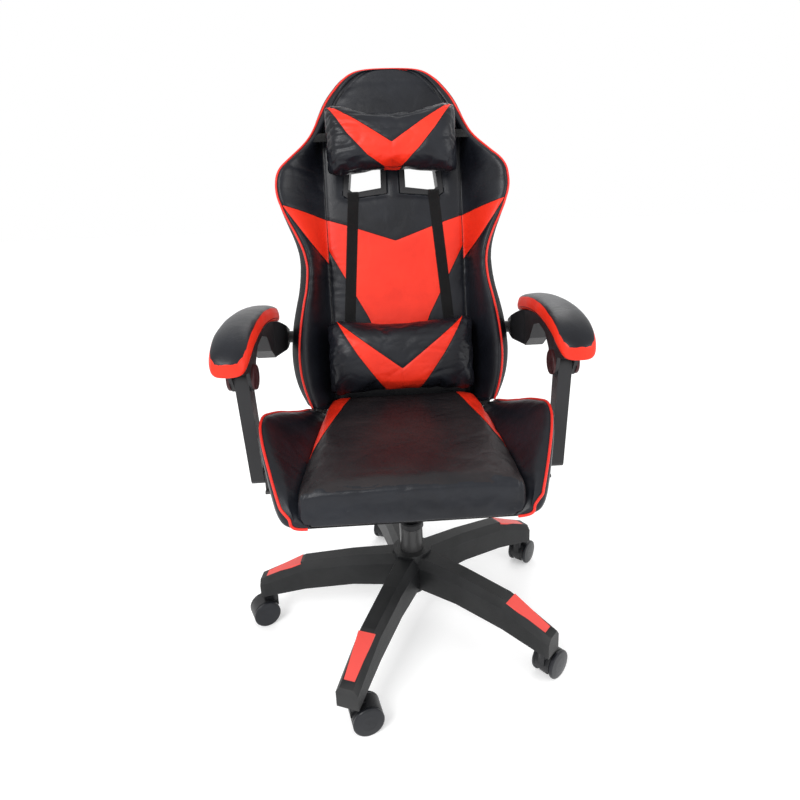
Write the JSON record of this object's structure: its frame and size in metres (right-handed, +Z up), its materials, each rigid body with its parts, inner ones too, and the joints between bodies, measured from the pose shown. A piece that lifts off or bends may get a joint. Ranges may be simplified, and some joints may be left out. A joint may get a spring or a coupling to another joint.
{
  "type": "gaming chair",
  "caption": "High-backed racing-style swivel chair with side wings, head and lumbar pillows, linked padded armrests, gas-lift column and a star base on twin-wheel castors.",
  "frame": {"origin": "on the floor, under the axis of the gas column", "axes": "+Z up; the chair faces -Y; +X is the sitter's left"},
  "size_m": [0.7102, 0.7509, 1.2051],
  "materials": {
    "black_board": "plywood covered with black non-woven lining",
    "foam_upholstery": "moulded foam in a sewn black synthetic leather cover, satin, fine grain",
    "red_leather": "red synthetic leather panels and piping, satin, fine grain",
    "black_nylon": "fine-grained moulded glass-filled nylon, matt",
    "red_plastic": "moulded insert, satin",
    "black_steel": "black powder coat, semi-gloss",
    "chromed_steel": "hard-chromed ground steel",
    "bright_steel": "zinc-plated",
    "black_plastic": "fine-textured moulding",
    "castor_nylon": "smooth moulded nylon, satin",
    "maroon_plastic": "dark maroon-black moulded cap",
    "black_leather": "synthetic leather, fine grain, satin sheen, with red panels and piping",
    "black_webbing": "woven polyester webbing"
  },
  "bodies": {
    "base": {"base_star": "black_nylon", "base_inserts": "red_plastic", "column_tube": "black_steel", "column_bush": "black_plastic", "thrust_bearing": "bright_steel"},
    "spindle": {"piston_rod": "bright_steel"},
    "lift": {"gas_cylinder": "chromed_steel", "mech_housing": "black_steel", "tilt_pins": "bright_steel"},
    "valve": {"valve_button": "bright_steel"},
    "height_lever": {"height_lever_rod": "black_steel", "height_lever_grip": "black_plastic"},
    "tension_knob": {"tension_knob": "black_plastic"},
    "seat": {"seat_plate": "black_steel", "seat_bolts": "bright_steel", "seat_board": "black_board", "seat_cushion": "foam_upholstery", "strut_brackets": "black_steel", "recliner_seat_plates": "black_steel", "recliner_covers": "black_plastic", "tension_spring": "bright_steel"},
    "recline_lever": {"recline_lever": "black_plastic"},
    "backrest": {"recliner_back_plates": "black_steel", "back_frame": "black_steel", "back_foam": "foam_upholstery", "arm_mounts": "black_steel", "back_rear_cover": "foam_upholstery", "opening_bezels": "black_plastic", "lumbar_straps": "black_webbing", "head_strap": "black_webbing", "head_pillow": "foam_upholstery"},
    "lumbar_pillow": {"lumbar_pillow": "foam_upholstery"},
    "armrest_left": {"arm_core_left": "black_plastic", "arm_pad_left": "black_leather", "knuckle_caps_left": "maroon_plastic"},
    "strut_left": {"strut_left": "black_plastic"},
    "armrest_right": {"arm_core_right": "black_plastic", "arm_pad_right": "black_leather", "knuckle_caps_right": "maroon_plastic"},
    "strut_right": {"strut_right": "black_plastic"},
    "castor_1": {"castor_hood_1": "black_plastic", "castor_pins_1": "bright_steel"},
    "wheel_1_left": {"castor_wheel_1_left": "castor_nylon"},
    "wheel_1_right": {"castor_wheel_1_right": "castor_nylon"},
    "castor_2": {"castor_hood_2": "black_plastic", "castor_pins_2": "bright_steel"},
    "wheel_2_left": {"castor_wheel_2_left": "castor_nylon"},
    "wheel_2_right": {"castor_wheel_2_right": "castor_nylon"},
    "castor_3": {"castor_hood_3": "black_plastic", "castor_pins_3": "bright_steel"},
    "wheel_3_left": {"castor_wheel_3_left": "castor_nylon"},
    "wheel_3_right": {"castor_wheel_3_right": "castor_nylon"},
    "castor_4": {"castor_hood_4": "black_plastic", "castor_pins_4": "bright_steel"},
    "wheel_4_left": {"castor_wheel_4_left": "castor_nylon"},
    "wheel_4_right": {"castor_wheel_4_right": "castor_nylon"},
    "castor_5": {"castor_hood_5": "black_plastic", "castor_pins_5": "bright_steel"},
    "wheel_5_left": {"castor_wheel_5_left": "castor_nylon"},
    "wheel_5_right": {"castor_wheel_5_right": "castor_nylon"}
  },
  "joints": [
    {"name": "castor_1_swivel", "type": "hinge", "parent": "base", "child": "castor_1", "pos_m": [-0.12298, -0.29543, 0.06], "axis": [0, 0, 1], "continuous": true},
    {"name": "wheel_1_left_spin", "type": "hinge", "parent": "castor_1", "child": "wheel_1_left", "pos_m": [-0.10172, -0.28973, 0.029], "axis": [-0.2588, 0.9659, 0], "continuous": true},
    {"name": "wheel_1_right_spin", "type": "hinge", "parent": "castor_1", "child": "wheel_1_right", "pos_m": [-0.10172, -0.28973, 0.029], "axis": [-0.2588, 0.9659, 0], "continuous": true},
    {"name": "castor_2_swivel", "type": "hinge", "parent": "base", "child": "castor_2", "pos_m": [0.24297, -0.20825, 0.06], "axis": [0, 0, 1], "continuous": true},
    {"name": "wheel_2_left_spin", "type": "hinge", "parent": "castor_2", "child": "wheel_2_left", "pos_m": [0.25982, -0.19411, 0.029], "axis": [-0.6428, 0.766, 0], "continuous": true},
    {"name": "wheel_2_right_spin", "type": "hinge", "parent": "castor_2", "child": "wheel_2_right", "pos_m": [0.25982, -0.19411, 0.029], "axis": [-0.6428, 0.766, 0], "continuous": true},
    {"name": "castor_3_swivel", "type": "hinge", "parent": "base", "child": "castor_3", "pos_m": [0.27314, 0.16672, 0.06], "axis": [0, 0, 1], "continuous": true},
    {"name": "wheel_3_left_spin", "type": "hinge", "parent": "castor_3", "child": "wheel_3_left", "pos_m": [0.28728, 0.18358, 0.029], "axis": [-0.766, 0.6428, 0], "continuous": true},
    {"name": "wheel_3_right_spin", "type": "hinge", "parent": "castor_3", "child": "wheel_3_right", "pos_m": [0.28728, 0.18358, 0.029], "axis": [-0.766, 0.6428, 0], "continuous": true},
    {"name": "castor_4_swivel", "type": "hinge", "parent": "base", "child": "castor_4", "pos_m": [-0.07416, 0.31129, 0.06], "axis": [0, 0, 1], "continuous": true},
    {"name": "wheel_4_left_spin", "type": "hinge", "parent": "castor_4", "child": "wheel_4_left", "pos_m": [-0.06316, 0.33034, 0.029], "axis": [-0.866, 0.5, 0], "continuous": true},
    {"name": "wheel_4_right_spin", "type": "hinge", "parent": "castor_4", "child": "wheel_4_right", "pos_m": [-0.06316, 0.33034, 0.029], "axis": [-0.866, 0.5, 0], "continuous": true},
    {"name": "castor_5_swivel", "type": "hinge", "parent": "base", "child": "castor_5", "pos_m": [-0.31897, 0.02566, 0.06], "axis": [0, 0, 1], "continuous": true},
    {"name": "wheel_5_left_spin", "type": "hinge", "parent": "castor_5", "child": "wheel_5_left", "pos_m": [-0.33891, 0.01637, 0.029], "axis": [0.4226, -0.9063, 0], "continuous": true},
    {"name": "wheel_5_right_spin", "type": "hinge", "parent": "castor_5", "child": "wheel_5_right", "pos_m": [-0.33891, 0.01637, 0.029], "axis": [0.4226, -0.9063, 0], "continuous": true},
    {"name": "seat_swivel", "type": "hinge", "parent": "base", "child": "spindle", "pos_m": [0, 0, 0.08], "axis": [0, 0, 1], "continuous": true},
    {"name": "seat_height", "type": "slide", "parent": "spindle", "child": "lift", "axis": [0, 0, 1], "range_m": [0, 0.08]},
    {"name": "height_lever_lift", "type": "hinge", "parent": "lift", "child": "height_lever", "pos_m": [-0.046, -0.03, 0.3435], "axis": [0, 1, 0], "range_deg": [0, 4], "stiffness_Nm_per_rad": 2, "springref_deg": -8.59},
    {"name": "valve_press", "type": "slide", "parent": "lift", "child": "valve", "axis": [0, 0, -1], "range_m": [0, 0.004]},
    {"name": "tension_adjust", "type": "hinge", "parent": "seat", "child": "tension_knob", "pos_m": [0, -0.076, 0.29], "axis": [0, 0, 1], "continuous": true},
    {"name": "seat_rock", "type": "hinge", "parent": "lift", "child": "seat", "pos_m": [0, 0, 0.345], "axis": [-1, 0, 0], "range_deg": [0, 10], "stiffness_Nm_per_rad": 340, "springref_deg": -16.39, "deforming": ["tension_spring"]},
    {"name": "recline_lever_lift", "type": "hinge", "parent": "seat", "child": "recline_lever", "pos_m": [-0.22, 0.245, 0.425], "axis": [-1, 0, 0], "range_deg": [0, 25], "stiffness_Nm_per_rad": 0.8, "springref_deg": -22.92},
    {"name": "recline", "type": "hinge", "parent": "seat", "child": "backrest", "pos_m": [0, 0.245, 0.425], "axis": [-1, 0, 0], "range_deg": [0, 40]},
    {"name": "lumbar_slide", "type": "slide", "parent": "backrest", "child": "lumbar_pillow", "axis": [0, 0.1994, 0.9799], "range_m": [0, 0.09]},
    {"name": "armrest_left_pivot", "type": "hinge", "parent": "backrest", "child": "armrest_left", "pos_m": [0.28, 0.25, 0.607], "axis": [-1, 0, 0], "range_deg": [-36, 0]},
    {"name": "strut_left_pivot", "type": "hinge", "parent": "seat", "child": "strut_left", "pos_m": [0.3, -0.053, 0.397], "axis": [-1, 0, 0], "range_deg": [0, 33]},
    {"name": "armrest_right_pivot", "type": "hinge", "parent": "backrest", "child": "armrest_right", "pos_m": [-0.28, 0.25, 0.607], "axis": [-1, 0, 0], "range_deg": [-36, 0]},
    {"name": "strut_right_pivot", "type": "hinge", "parent": "seat", "child": "strut_right", "pos_m": [-0.3, -0.053, 0.397], "axis": [-1, 0, 0], "range_deg": [0, 33]}
  ],
  "couplings": [
    {"joint": "valve_press", "follows": "height_lever_lift", "m_per_rad": 0.046},
    {"joint": "armrest_left_pivot", "follows": "recline", "ratio": -0.88},
    {"joint": "strut_left_pivot", "follows": "recline", "ratio": 0.8},
    {"joint": "armrest_right_pivot", "follows": "recline", "ratio": -0.88},
    {"joint": "strut_right_pivot", "follows": "recline", "ratio": 0.8}
  ]
}
